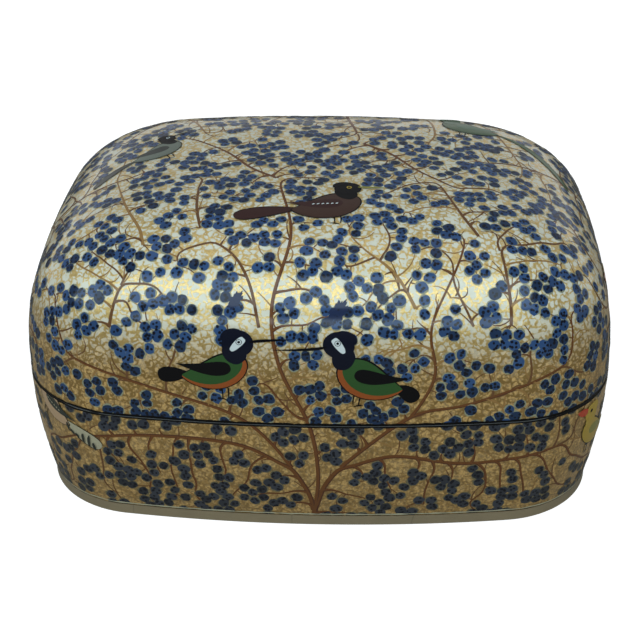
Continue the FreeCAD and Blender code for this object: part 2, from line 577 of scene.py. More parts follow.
def tangents(normals, hint=None):
    """Rightward and upward unit vectors on a surface. Rightward is level, or as near a hint as can be."""
    hint = np.cross([0.0, 0.0, 1.0], normals) + np.array([1e-6, 0.0, 0.0]) if hint is None else hint
    right = hint - (hint * normals).sum(-1, keepdims=True) * normals
    right = right / np.linalg.norm(right, axis=-1, keepdims=True)
    return right, np.cross(normals, right)


# The painter's layout


def smooth_path(points, spacing):
    """Points at an even spacing along a Catmull-Rom curve through the given ones."""
    points = np.asarray(points, dtype=float)
    padded = np.vstack([2 * points[0] - points[1], points, 2 * points[-1] - points[-2]])
    before, start, end, after = padded[:-3], padded[1:-2], padded[2:-1], padded[3:]
    t = np.linspace(0.0, 1.0, 24, endpoint=False)[None, :, None]
    before, start, end, after = (p[:, None] for p in (before, start, end, after))
    curve = 0.5 * (
        2 * start
        + (end - before) * t
        + (2 * before - 5 * start + 4 * end - after) * t**2
        + (3 * start - before - 3 * end + after) * t**3
    )
    curve = np.vstack([curve.reshape(-1, 3), points[-1:]])
    run = np.concatenate([[0.0], np.cumsum(np.linalg.norm(np.diff(curve, axis=0), axis=1))])
    wanted = np.linspace(0.0, run[-1], max(3, int(run[-1] / spacing)))
    return np.stack([np.interp(wanted, run, curve[:, axis]) for axis in range(3)], axis=-1)


# Main stems on the front, as points that they pass by, in millimetres. Each grows from the one before it
# in the list that comes nearest to its start.
MAIN_STEMS = (
    ((0, -54, 4), (-2, -55, 13), (-10, -57, 27), (-20, -57, 36), (-39, -55, 42), (-58, -48, 47)),
    ((-6, -56, 20), (-19, -56, 27), (-41, -55, 28), (-58, -50, 25)),
    (
        (0, -54, 5), (1, -56, 18), (-1, -57, 33), (-8, -56, 49), (-10, -52, 63), (-6, -37, 75),
        (-10, -14, 78),
    ),
    ((-3, -57, 34), (-10, -57, 43), (-13, -56, 50)),
    ((0, -54, 5), (3, -56, 15), (10, -57, 24), (24, -56, 36), (38, -55, 39), (58, -48, 46)),
    ((7, -56, 20), (20, -56, 24), (38, -54, 21), (60, -46, 24)),
    ((24, -56, 36), (29, -55, 47), (28, -52, 60), (36, -38, 74)),
)

# Main stems on an end of the box, seen from the side that they are on
END_STEMS = (
    ((73, 0, 4), (74, 6, 20), (75, 4, 40), (70, 8, 62), (52, 6, 76)),
    ((73, 0, 4), (74, -9, 18), (75, -20, 34), (70, -26, 52)),
    ((73, 0, 4), (74, 12, 16), (74, 24, 28), (71, 30, 46)),
)


# Limbs over the lid's shoulder and crown, each on its own, from its thick end
CROWN_LIMBS = (
    ((-42, -39, 73), (-43, -33, 74), (-48, -23, 75), (-53, -6, 74)),
    ((39, -35, 74), (36, -29, 76), (33, -21, 77), (30, -11, 78)),
    ((47, -51, 59), (46, -46, 67), (45, -41, 71), (43, -36, 73)),
    ((38, -52, 59), (33, -47, 67), (33, -43, 71)),
    ((24, -51, 63), (19, -46, 70), (12, -41, 73)),
    ((-13, -54, 59), (-15, -49, 67), (-19, -43, 72), (-25, -38, 74)),
    ((-28, -34, 75), (-30, -26, 77), (-30, -18, 77)),
    ((-49, -51, 57), (-48, -49, 63), (-45, -45, 68)),
    ((-11, -11, 78), (-18, -5, 78), (-25, 5, 78), (-34, 14, 77)),
)


def main_stems():
    """The front's and an end's stems and the crown's limbs, and the same after half a turn of the box."""
    groups = [MAIN_STEMS, END_STEMS, *([limb] for limb in CROWN_LIMBS)]
    half_turn = np.array([-1.0, -1.0, 1.0])
    return [[np.array(stem) * side for stem in group] for side in (1.0, half_turn) for group in groups]


def scatter(form, rng, count):
    """Random points spread evenly over the outside of the base and lid, drawn by their cell's area."""
    outside = [base_rings(form), lid_rings(form)]
    found = []
    areas = []
    for rings in outside:
        grid = np.stack(rings)
        beside = np.roll(grid, -1, axis=1)
        corner, right, up = grid[:-1], beside[:-1] - grid[:-1], grid[1:] - grid[:-1]
        areas.append(np.linalg.norm(np.cross(right, up), axis=-1).ravel())
        found.append(np.stack([corner, right, up]).reshape(3, -1, 3))
    area = np.concatenate(areas)
    cells = np.concatenate(found, axis=1)
    pick = rng.choice(len(area), size=count, p=area / area.sum())
    share = rng.random((2, count, 1))
    return cells[0, pick] + cells[1, pick] * share[0] + cells[2, pick] * share[1]


def thin_out(candidates, gap, keep_clear=None, clear_gap=0.0):
    """Takes candidates in turn, each at least gap from those before it, as a painter fills a ground."""
    if keep_clear is not None:
        candidates = candidates[nearest(candidates, keep_clear)[0] > clear_gap]
    taken = np.empty((0, 3))
    for point in candidates:
        if len(taken) == 0 or np.min(np.sum((taken - point) ** 2, axis=1)) > gap * gap:
            taken = np.vstack([taken, point])
    return taken


def nearest(points, others):
    """Distance from each point to its nearest other, and which one that is."""
    square = ((points[:, None] - others[None]) ** 2).sum(-1)
    which = square.argmin(axis=1)
    return np.sqrt(square[np.arange(len(points)), which]), which


def grow(form, rng, nodes, parents, targets):
    """Twigs that grow towards their targets, as space colonisation.

    In each round every target pulls the node nearest to it. Each pulled node sends out a new one, a step
    along the mean of its pulls with a little sway, until every target has been reached.
    """
    nodes = np.array(nodes)
    parents = list(parents)
    distance, which = nearest(targets, nodes)
    waiting = np.ones(len(targets), dtype=bool)
    ends = which.copy()
    for _ in range(GROWTH_ROUNDS):
        waiting &= distance > REACHED
        if not waiting.any():
            break
        pulled, group = np.unique(which[waiting], return_inverse=True)
        pull = (targets[waiting] - nodes[which[waiting]]) / distance[waiting][:, None]
        heading = np.zeros((len(pulled), 3))
        np.add.at(heading, group, pull)
        heading /= np.linalg.norm(heading, axis=1, keepdims=True) + TINY
        upward = tangents(form.normals_either(nodes[pulled]))[1]
        heading += UPWARD_PULL * upward * upward[:, 2:]
        before = np.array(parents)[pulled]
        heading += ONWARD_PULL * (nodes[pulled] - nodes[np.maximum(before, 0)]) / STEP
        heading += rng.normal(0.0, GROWTH_SWAY, heading.shape)
        heading /= np.linalg.norm(heading, axis=1, keepdims=True)
        fresh = form.settle_either(nodes[pulled] + heading * STEP)
        start = len(nodes)
        nodes = np.vstack([nodes, fresh])
        parents.extend(pulled.tolist())
        near, closest = nearest(targets, fresh)
        closer = near < distance
        distance = np.where(closer, near, distance)
        which = np.where(closer, closest + start, which)
        ends[closer] = which[closer]
    return nodes, np.array(parents), ends


def plan_stems(form):
    """Nodes along the main stems, and the node that each one grows from, or -1 at a root."""
    nodes, parents = [], []
    for group in main_stems():
        first_of_group = len(nodes)
        for number, stem in enumerate(group):
            path = form.settle_either(smooth_path(stem, STEP))
            parent = -1
            if number > 0:
                earlier = np.array(nodes[first_of_group:])
                parent = first_of_group + int(nearest(path[:1], earlier)[1][0])
                path = path[1:]
            for point in path:
                nodes.append(point)
                parents.append(parent)
                parent = len(nodes) - 1
    return np.array(nodes), parents


def chains_of(nodes, parents, ends):
    """The grown tree as chains from fork to fork, with the number of clusters that each node carries."""
    load = np.zeros(len(nodes))
    np.add.at(load, ends, 1.0)
    for i in range(len(nodes) - 1, -1, -1):
        if parents[i] >= 0:
            load[parents[i]] += load[i]
    children = [[] for _ in nodes]
    for i, parent in enumerate(parents):
        if parent >= 0 and load[i] > 0:
            children[parent].append(i)
    chains = []
    starts = [(int(i), -1) for i in np.flatnonzero(parents < 0)]
    while starts:
        first, fork = starts.pop()
        chain = [first] if fork < 0 else [fork, first]
        while children[chain[-1]]:
            followers = sorted(children[chain[-1]], key=lambda i: -load[i])
            starts.extend((other, chain[-1]) for other in followers[1:])
            chain.append(followers[0])
        chains.append(np.array(chain))
    return chains, load


@lru_cache(maxsize=1)
def layout():
    """Where stems, twigs, clusters and blossoms go, worked out once for all the painted pieces."""
    form = read_form()
    ornament = read_ornament()
    rng = np.random.default_rng(ornament.seed)
    stems, parents = plan_stems(form)
    birds = np.concatenate([bird_space(form, bird) for bird in BIRDS])
    candidates = form.settle_either(scatter(form, rng, PLACES_TRIED))
    centres = thin_out(candidates, ornament.cluster_gap / MM, stems, CLUSTERS_OFF_STEMS)
    centres = centres[nearest(centres, birds)[0] > CLUSTERS_OFF_BIRDS]
    nodes, parents, ends = grow(form, rng, stems, parents, centres)
    chains, load = chains_of(nodes, parents, ends)
    boughs = nodes[len(stems) :][load[len(stems) :] >= 2]
    headings = nodes[ends] - nodes[parents[ends]]
    keep_clear = (
        (stems, BLOSSOMS_OFF_STEMS),
        (boughs, BLOSSOMS_OFF_BOUGHS),
        (birds, BLOSSOMS_OFF_BIRDS),
    )
    blossoms = place_blossoms(form, rng, centres, headings, keep_clear)
    return dict(nodes=nodes, chains=chains, load=load, blossoms=blossoms, birds=birds)


def place_blossoms(form, rng, centres, headings, keep_clear):
    """Blossoms of each cluster, in two columns of three along its twig's heading, here and there one fewer.

    keep_clear gives sets of points, and how far in millimetres the blossoms' middles stay from each.
    """
    gap = read_ornament().blossom_gap / MM
    along, across = tangents(form.normals_either(centres), headings + TINY)
    rows, columns = (grid.ravel() for grid in np.meshgrid((-1.0, 0.0, 1.0), (-0.5, 0.5)))
    stagger = rng.uniform(-0.5, 0.5, (len(centres), 1))
    sway = rng.normal(0.0, CLUSTER_SWAY, (2, len(centres), len(rows)))
    ahead = (rows + stagger * columns + sway[0]) * gap
    aside = (columns + sway[1]) * gap
    around = along[:, None] * ahead[..., None] + across[:, None] * aside[..., None]
    candidates = form.settle_either(centres[:, None] + around).reshape(-1, 3)
    clear = rng.random(len(candidates)) < KEPT_SHARE
    for points, distance in keep_clear:
        clear &= nearest(candidates, points)[0] > distance
    return thin_out(candidates[clear], gap * CLOSEST_SHARE)


# Shells


def base_rings(form):
    """Rings up the base's outside, from the foot to the broken edge of its rim."""
    heights = np.linspace(form.foot, form.parting - form.edge_break, BASE_ROWS)
    return [level_ring(form, z, form.base_inset(z)) for z in heights]


def dome_rings(form, low, top, full_rise, inset):
    """Rings down a dome from its crown to a low level.

    Scale k and rise r follow k^m + r^m = 1. The crown's rings are even in k and the side's in r.
    """
    power = form.power
    turning = 2 ** (-1 / power)
    crown = np.linspace(FIRST_RING, turning, CROWN_ROWS)
    lowest = (low - form.spring) / full_rise
    side = np.linspace(turning, lowest, SIDE_ROWS)[1:]
    scales = np.concatenate([crown, (1 - side**power) ** (1 / power)])
    rises = np.concatenate([(1 - crown**power) ** (1 / power), side])
    return [
        level_ring(form, min(form.spring + full_rise * rise, top), inset, scale, form.dome_corner(rise))
        for scale, rise in zip(scales, rises)
    ]


def lid_rings(form):
    """Rings down the lid's outside, from the crown to the broken edge of its rim."""
    return dome_rings(form, form.parting + form.edge_break, form.height, form.height - form.spring, 0.0)


def lid_inner_rings(form):
    """Rings down the lid's inside, which flattens under the crown at its own share of the scale."""
    ceiling = form.height - form.crown_wall
    partner = (1 - CEILING_FLAT_SHARE**form.power) ** (1 / form.power)
    full_rise = (ceiling - form.spring) / partner
    return dome_rings(form, form.parting, ceiling, full_rise, form.wall - form.clearance)


def make_shell(form, name, body, node, outer, inner, poles):
    """Outer rings, a broken rim and inner rings as one skin: gold ground outside, black lacquer inside."""
    rim = [level_ring(form, form.parting, form.edge_break)]
    points, faces = skin_over(outer + rim + inner, poles)
    slots = outside_and_inside(faces, len(outer) - 1)
    materials = [gold_ground(), black_lacquer()]
    make_piece(name, body, points, faces, materials, slots=slots, stands_for=(node,))


def outside_and_inside(faces, outer_rows):
    """Material slots of a shell: 0 on its first rows of quads and the first pole, 1 on the rest."""
    rows = len(faces[0]) // COLUMNS
    quads = np.repeat((np.arange(rows) >= outer_rows).astype(int), COLUMNS)
    return np.concatenate([quads, np.zeros(COLUMNS, dtype=int), np.ones(COLUMNS, dtype=int)])


def make_lid(form):
    poles = ([0.0, 0.0, form.height], [0.0, 0.0, form.height - form.crown_wall])
    inner = lid_inner_rings(form)[::-1]
    make_shell(form, "lacquered_lid", LID, "lid_shell", lid_rings(form), inner, poles)


def make_base(form):
    floor_level = form.foot + form.floor
    bevel_top = floor_level + form.bevel
    heights = [form.parting, *np.linspace(COLLAR_LOW / MM, bevel_top, INNER_ROWS)]
    inner = [level_ring(form, z, form.base_inset(z, form.wall)) for z in heights]
    inner.append(level_ring(form, floor_level, form.base_inset(bevel_top, form.wall) + form.bevel))
    poles = ([0.0, 0.0, form.foot], [0.0, 0.0, floor_level])
    make_shell(form, "lacquered_base", BASE, "base_shell", base_rings(form), inner, poles)


def make_turned(form, name, node, material, section, poles=(), joined=False):
    """Piece of the base that one section of insets and heights makes, carried round the outline."""
    points, faces = skin_over([level_ring(form, z, inset) for inset, z in section], poles, joined)
    make_piece(name, BASE, points, faces, [material], stands_for=(node,))


def make_collar(form):
    """Band of five straight stretches in section, with its leaning top."""
    low, high = COLLAR_LOW / MM, COLLAR_HIGH / MM
    inside = form.wall + form.collar
    section = (
        (form.base_inset(low, form.wall), low),
        (form.wall, form.parting),
        (form.wall, high - form.lead_height),
        (form.wall + form.lead_in, high),
        (inside, high),
        (inside, low),
    )
    name = "lacquered_collar"
    make_turned(form, name, "locating_collar", black_lacquer(), section, joined=True)


def make_foot(form):
    """Board with a broken lower edge, its side upright."""
    section = (
        (form.draw_in + form.edge_break, 0.0),
        (form.draw_in, form.edge_break),
        (form.draw_in, form.foot),
    )
    poles = ([0.0, 0.0, 0.0], [0.0, 0.0, form.foot])
    make_turned(form, "painted_foot_board", "foot_board", foot_paint(), section, poles)


# Painted lines


def make_lines(form, rng):
    """Black lines on both rims and a dark and a pale line over the foot, their edges a little uneven."""
    width = read_ornament().rim_line / MM
    turn = np.linspace(0.0, 2 * np.pi, LINE_POINTS)
    around = level_line(form, turn)
    ink = lacquer_paint("lamp_black_line", tuple(read_colours().lacquer), LINE_VARNISH)
    pale = lacquer_paint("pale_line_paint", linear(PALE_LINE))
    dark = lacquer_paint("dark_line_paint", linear(DARK_LINE))
    foot = form.foot
    lid_lines = [(form.parting, form.parting + width, ink)]
    base_lines = [
        (form.parting - width, form.parting, ink),
        (foot + DARK_LINE_AT[0], foot + DARK_LINE_AT[1], dark),
        (foot + PALE_LINE_AT[0], foot + PALE_LINE_AT[1], pale),
    ]
    for body, name, lines in ((LID, "lid_rim_line", lid_lines), (BASE, "base_lines", base_lines)):
        painting = Painting(form, body)
        for low, high, material in lines:
            rows = np.stack([around, around], axis=1)
            rows[:, :, 2] = low, high
            low_sway = wavy(turn, rng, LOWER_EDGE_PERIODS)
            if foot + EVEN_UP_TO < low < form.parting:
                rows[:, 0, 2] += low_sway
            if high != form.parting:
                rows[:, 1, 2] += wavy(turn, rng, UPPER_EDGE_PERIODS)
            painting.add(rows, grid_faces(len(turn), 2), material, LINE_LIFT)
        painting.make(name)


def level_line(form, turn):
    x, y = np.cos(turn), np.sin(turn)
    distance = form.reach(x, y)
    return np.stack([x * distance, y * distance, np.zeros_like(x)], axis=-1)


def wavy(turn, rng, highest):
    """How far a line's edge strays in millimetres: a sum of sines that closes on itself."""
    waves = rng.integers(FEWEST_PERIODS, highest, EDGE_WAVES)
    phases = rng.random(EDGE_WAVES) * 2 * np.pi
    return np.sin(turn[:, None] * waves + phases).sum(axis=1) / EDGE_PEAK * LINE_SWAY


# Stems and twigs


def ribbon(path, widths, form, columns=3):
    """Band of points along a path on the surface, across its run, from one edge to the other."""
    run = np.gradient(path, axis=0)
    normals = form.normals_either(path)
    across = np.cross(normals, run)
    across /= np.linalg.norm(across, axis=-1, keepdims=True) + TINY
    places = np.linspace(-0.5, 0.5, columns)
    return path[:, None] + across[:, None] * (widths[:, None] * places)[..., None]


def split_at_parting(path, widths, parting):
    """Pieces of a path that lie on the base or the lid, each ending at the parting where it crosses."""
    above = path[:, 2] >= parting
    cuts = np.flatnonzero(above[1:] != above[:-1])
    pieces = []
    start_point, start_width, first = None, None, 0
    for cut in list(cuts) + [len(path) - 1]:
        points = list(path[first : cut + 1])
        sizes = list(widths[first : cut + 1])
        if start_point is not None:
            points.insert(0, start_point)
            sizes.insert(0, start_width)
        if cut < len(path) - 1:
            share = (parting - path[cut, 2]) / (path[cut + 1, 2] - path[cut, 2])
            start_point = path[cut] + (path[cut + 1] - path[cut]) * share
            start_width = widths[cut]
            points.append(start_point)
            sizes.append(start_width)
        if len(points) > 1:
            pieces.append((LID if above[cut] else BASE, np.array(points), np.array(sizes)))
        first = cut + 1
    return pieces


def relax(path, rounds=2):
    """Path with its inner points moved to (before + 2 own + after) / 4, a few times."""
    path = path.copy()
    for _ in range(rounds):
        path[1:-1] = (path[:-2] + 2 * path[1:-1] + path[2:]) / 4
    return path


def make_twigs(form, rng):
    """Stems, twigs and the short stalks of the blossoms, as tapered brush strokes."""
    plan = layout()
    ornament, colours = read_ornament(), read_colours()
    rust = lacquer_paint("burnt_sienna_paint", tuple(colours.rust))
    umber = lacquer_paint("umber_paint", tuple(colours.umber))
    shade = lacquer_paint("dark_umber_paint", linear(DARK_UMBER))
    ochre = lacquer_paint("ochre_brown_paint", linear(OCHRE_BROWN))
    paintings = {body: Painting(form, body) for body in (BASE, LID)}
    for number, chain in enumerate(plan["chains"]):
        if len(chain) < SHORTEST_CHAIN:
            continue
        path = form.settle_either(relax(plan["nodes"][chain]))
        load = np.maximum(plan["load"][chain], 1.0)
        widths = np.minimum(ornament.twig / MM * load**WIDTH_POWER, ornament.trunk / MM)
        if len(chain) > SHORTEST_CHAIN:
            widths = relax(widths, WIDTH_ROUNDS)
        widths[-1] *= TIP_SHARE
        thick = widths.max() > THICK
        thin_paint = ochre if (number + 1) % OCHRE_EVERY == 0 else umber
        for body, points, sizes in split_at_parting(path, widths, form.parting):
            band = ribbon(points, sizes, form)
            lift = np.tile([TWIG_LIFT, TWIG_LIFT + RIDGE_RISE, TWIG_LIFT], (len(points), 1))
            paintings[body].add(band, grid_faces(len(points), 3), rust if thick else thin_paint, lift)
            if thick:
                edge = band[:, :2].copy()
                edge[:, 1] = edge[:, 0] + (edge[:, 1] - edge[:, 0]) * SHADE_SHARE
                paintings[body].add(edge, grid_faces(len(points), 2), shade, TWIG_LIFT + SHADE_RISE)
    for body, painting in paintings.items():
        sprigs = int(ornament.sprigs * SPRIG_SHARES[body])
        add_sprigs(form, plan, painting, sprigs, (umber, ochre), rng)
        add_stalks(form, plan, painting, umber, rng)
        painting.make(body + "_twigs")


def add_strokes(form, painting, starts, ends, bow, width, material):
    """Short brush strokes a + (b - a) t with a sideways bow of 4 t (1 - t), each narrower at its end."""
    t = np.linspace(0.0, 1.0, STROKE_POINTS)[None, :, None]
    run = ends - starts
    aside = np.cross(form.normals(starts, painting.body), run)
    bowed = 4 * aside[:, None] * np.reshape(bow, (-1, 1, 1)) * t * (1 - t)
    paths = starts[:, None] + run[:, None] * t + bowed
    across = aside / (np.linalg.norm(aside, axis=-1, keepdims=True) + TINY)
    half = np.array([-0.5, 0.5])[None, None, :, None] * width * (1 - STROKE_TAPER * t)[..., None]
    bands = paths[:, :, None] + across[:, None, None] * half
    faces = grid_faces(STROKE_POINTS, 2, len(starts))
    painting.add(bands.reshape(-1, 3), faces, material, TWIG_LIFT)


def add_stalks(form, plan, painting, material, rng):
    """Stalk to each blossom from the nearest twig on its own side of the parting."""
    above = painting.body == LID
    twigs = plan["nodes"][(plan["load"] > 0) & ((plan["nodes"][:, 2] >= form.parting) == above)]
    blossoms = plan["blossoms"][(plan["blossoms"][:, 2] >= form.parting) == above]
    away, which = nearest(blossoms, twigs)
    reachable = away < LONGEST_STALK
    starts, ends = twigs[which][reachable], blossoms[reachable]
    bow = rng.normal(0.0, STALK_BOW, len(starts))
    add_strokes(form, painting, starts, ends, bow, STALK_WIDTH, material)


def add_sprigs(form, plan, painting, count, materials, rng):
    """Bare curved sprigs that leave the twigs at a slant."""
    above = painting.body == LID
    nodes = plan["nodes"]
    grown = (plan["load"] > 0) & ((nodes[:, 2] >= form.parting) == above)
    chosen = rng.choice(np.flatnonzero(grown), count)
    starts = nodes[chosen]
    right, up = tangents(form.normals(starts, painting.body))
    turn = rng.normal(np.pi / 2, SPRIG_STRAY, (count, 1))
    ends = starts + (right * np.cos(turn) + up * np.sin(turn)) * rng.uniform(*SPRIG_LENGTHS, (count, 1))
    clear = nearest(ends, plan["birds"])[0] > SPRIGS_OFF_BIRDS
    side = ends[:, 2] - form.parting if above else form.parting - ends[:, 2]
    clear &= side > SPRIGS_OFF_PARTING
    for number, material in enumerate(materials):
        own = clear & (np.arange(count) % len(materials) == number)
        bow = rng.normal(0.0, SPRIG_BOW, int(own.sum()))
        add_strokes(form, painting, starts[own], ends[own], bow, SPRIG_WIDTH, material)


# Blossoms


def disc_points(rng, count, corners, radius, unevenness):
    """Middle and ring of uneven discs: the ring's radius is r (1 + e), with e random at each corner."""
    turn = np.linspace(0.0, 2 * np.pi, corners, endpoint=False)[None] + rng.random((count, 1)) * 2 * np.pi
    stretch = 1 + unevenness * rng.normal(0.0, 1.0, (count, corners))
    oval = 1 + OVALNESS * np.cos(2 * (turn - rng.random((count, 1)) * np.pi))
    distance = np.broadcast_to(radius, (count,))[:, None] * stretch * oval
    ring = np.stack([np.cos(turn) * distance, np.sin(turn) * distance], axis=-1)
    return np.concatenate([np.zeros((count, 1, 2)), ring], axis=1)


def put_flat(form, centres, flat, hint=None):
    """Flat points laid in the tangent plane at each centre: c + x right + y up."""
    right, up = tangents(form.normals_either(centres), hint)
    return centres[:, None] + right[:, None] * flat[..., :1] + up[:, None] * flat[..., 1:]


def add_discs(form, painting, centres, flat, material, lift, shift=None):
    points = put_flat(form, centres, flat if shift is None else flat + shift[:, None])
    painting.add(points.reshape(-1, 3), fan_faces(flat.shape[1] - 1, len(centres)), material, lift)


def make_blossoms(form, rng):
    """Each blossom is a pale halo, a blue disc and three to five dark dots near its edge.

    Towards the lid's rim more of them are of the deep blue, as painted shade.
    """
    blossoms = layout()["blossoms"]
    ornament, colours = read_ornament(), read_colours()
    radius = ornament.blossom / MM / 2
    halo = ornament.halo / MM
    height = blossoms[:, 2]
    ink = lacquer_paint("indigo_ink", tuple(colours.ink))
    sizes = radius * rng.uniform(*BLOSSOM_SIZES, len(blossoms))
    # Painted shade: lower on the lid's front, more of the blossoms are deep blue
    painted_shade_depth = np.clip((DEEP_FROM - height) / DEEP_OVER, 0.0, 1.0) * (height > form.parting)
    deep = rng.random(len(blossoms)) < LEAST_DEEP + MORE_DEEP * painted_shade_depth
    shades = np.where(deep, 1, rng.choice((0, 2), len(blossoms)))
    lifts = rng.uniform(0.0, LIFT_SPREAD, len(blossoms))
    # The base's blue and halo are darker, duller copies of the lid's: painted shade and painted warm
    # reflected light
    for body, blue, rim in (
        (BASE, colours.base_blossom_in_shade, colours.base_halo_in_shade),
        (LID, colours.blossom, colours.halo),
    ):
        side = height - form.parting if body == LID else form.parting - height
        chosen = side > -(radius + halo)
        painting = Painting(form, body)
        pale = lacquer_paint(body + "_slate_wash", tuple(rim))
        blues = [
            lacquer_paint(body + "_indigo_body_colour" + name, tuple(np.array(blue) * share))
            for name, share in (("", 1.0), ("_deep", DEEP_SHARES[body]), ("_light", LIGHT_SHARE))
        ]
        centres, own = blossoms[chosen], sizes[chosen]
        own_lift = np.repeat(lifts[chosen][:, None], DISC_CORNERS + 1, axis=1)
        draw = np.random.default_rng(DISCS_SEED)
        discs = disc_points(draw, len(centres), DISC_CORNERS, own, DISC_EDGE)
        halos = disc_points(draw, len(centres), DISC_CORNERS, own + halo, HALO_EDGE)
        add_discs(form, painting, centres, halos, pale, own_lift + HALO_LIFT)
        for number, material in enumerate(blues):
            this = shades[chosen] == number
            add_discs(form, painting, centres[this], discs[this], material, own_lift[this] + DISC_LIFT)
        add_dots(form, painting, centres, own, ornament.dot / MM / 2, ink, draw)
        painting.make(body + "_blossoms")


def add_dots(form, painting, centres, sizes, dot, material, rng):
    """Three to five dots per blossom, spread round it by the golden angle with some sway."""
    for number in range(MOST_DOTS):
        has_it = rng.random(len(centres)) < (1.0 if number < SURE_DOTS else DOT_CHANCE)
        turn = number * DOT_TURN + rng.normal(0.0, DOT_SWAY, len(centres)) + sizes * TURN_BY_SIZE
        away = sizes * rng.uniform(*DOT_PLACES, len(centres))
        shift = np.stack([np.cos(turn) * away, np.sin(turn) * away], axis=-1)
        radius = dot * rng.uniform(*DOT_SIZES, len(centres))
        flat = disc_points(rng, len(centres), DOT_CORNERS, radius, DOT_EDGE)
        add_discs(form, painting, centres[has_it], flat[has_it], material, DOT_LIFT, shift[has_it])


# Birds


# Places on a bird that faces right, in shares of its body's length from its middle
RUMP = (-0.38, -0.12)
BREAST = ((-0.55, -0.16), (0.11, -0.255), (0.475, 0.22))
LEGS = (
    ((0.10, -0.33), (0.13, -0.42), (0.12, -0.56)),
    ((0.21, -0.32), (0.24, -0.42), (0.21, -0.55)),
    ((0.04, -0.54), (0.12, -0.53), (0.20, -0.58)),
)
BIRD_MIDDLE = ((0.42, 0.46), (0.36, 0.25), (0.3, 0.02), (0.1, -0.08), (-0.1, -0.1), (-0.3, -0.1))

# What a bird has unless its style says otherwise, in colours and in shares of its body's length
USUAL_BIRD = dict(
    cheek=None, eye="white", bill="black", marks=None, bars=(), girth=1.0, head_at=(0.37, 0.46),
    head_size=0.22, bill_base=0.05, bill_rise=0.09, bill_width=0.026, bill_length=0.3, tail_drop=-0.05,
    tail_width=0.12,
)

GREEN_BACK = dict(
    body="malachite", belly="orange", wing="black", head="navy", cheek="white", tail="black",
    tail_length=0.58, bill_length=0.70, head_size=0.255, bill_rise=0.13,
)

# Each style's own colours and proportions
BIRD_STYLES = {
    "green_back": GREEN_BACK,
    "reaching_green_back": dict(
        GREEN_BACK, tail_length=0.45, tail_drop=-0.2, bill_length=0.86, head_at=(0.59, 0.50),
        bill_base=-0.05, bill_rise=-0.23, girth=1.15,
    ),
    "brown": dict(
        body="maroon", wing="dark_maroon", head="black", tail="dark_maroon", bill="olive", eye="yellow",
        tail_length=1.1, tail_drop=-0.16, tail_width=0.14, bill_length=0.45, head_size=0.215, marks="white",
        girth=1.15, bill_rise=0.0,
    ),
    "grey": dict(
        body="grey", wing="slate", head="black", tail="slate", tail_length=1.3, tail_drop=-0.35,
        tail_width=0.10, bill_length=0.4, head_size=0.17,
    ),
    "long_tailed_green": dict(
        body="malachite", wing="deep_green", head="deep_green", tail="malachite", tail_length=2.2,
        tail_drop=-1.35, tail_width=0.10, head_size=0.2,
    ),
    "barred": dict(
        body="pinkish_beige", wing="slate", head="pinkish_beige", tail="cream", eye="black",
        tail_length=0.95, tail_width=0.16, bill_length=0.35, marks="cream",
        bars=(0.16, 0.3, 0.44, 0.58, 0.72, 0.86),
    ),
    "yellow": dict(
        body="yellow", wing="olive", head="yellow", tail="olive", bill="red", eye="black", tail_length=0.7,
        tail_drop=-0.2, bill_width=0.09,
    ),
}

BIRD_COLOURS = {
    "malachite": "#24441F",
    "deep_green": "#1F4A2C",
    "orange": "#80401A",
    "black": "#060609",
    "navy": "#080C1A",
    "white": "#B4BABA",
    "maroon": "#38241D",
    "dark_maroon": "#2E1614",
    "olive": "#7A7430",
    "yellow": "#A08430",
    "grey": "#5E645A",
    "slate": "#262A26",
    "pinkish_beige": "#A08468",
    "red": "#A03A24",
    "cream": "#98917A",
    "deep_indigo": "#15223F",
}

# Two ragged dark leaves over the front pair of birds, by place and size in millimetres
LOOSE_LEAVES = (((-18.6, -50.6, 64.4), 1.9), ((5.6, -52.2, 62.4), 2.6))

# Style, place in millimetres, body length, tilt in degrees, whether it faces left, and the rightward hint
BIRDS = (
    ("green_back", (-23.8, -55.6, 48.4), 14.6, 0.0, False, None),
    ("reaching_green_back", (13.7, -56.1, 46.9), 14.6, 8.0, True, None),
    ("brown", (2.0, -24.5, 77.0), 15.5, 4.0, False, (1.0, 0.0, 0.0)),
    ("grey", (-44.0, 9.0, 75.5), 13.0, 24.0, False, (1.0, 0.0, 0.0)),
    ("long_tailed_green", (40.0, 27.0, 75.5), 14.0, 0.0, True, (1.0, 0.0, 0.0)),
    ("barred", (-65.8, -46.0, 31.6), 12.0, 27.0, True, None),
    ("yellow", (71.0, -39.0, 22.5), 12.5, 10.0, True, None),
    ("green_back", (24.0, 55.7, 47.5), 15.0, 12.0, False, None),
    ("brown", (-20.0, 55.5, 48.0), 14.0, 8.0, True, None),
    ("grey", (-75.0, 12.0, 47.0), 13.0, 12.0, False, None),
    ("yellow", (75.0, -12.0, 47.0), 13.0, 10.0, True, None),
    ("green_back", (20.0, 56.0, 22.0), 12.5, 10.0, True, None),
)


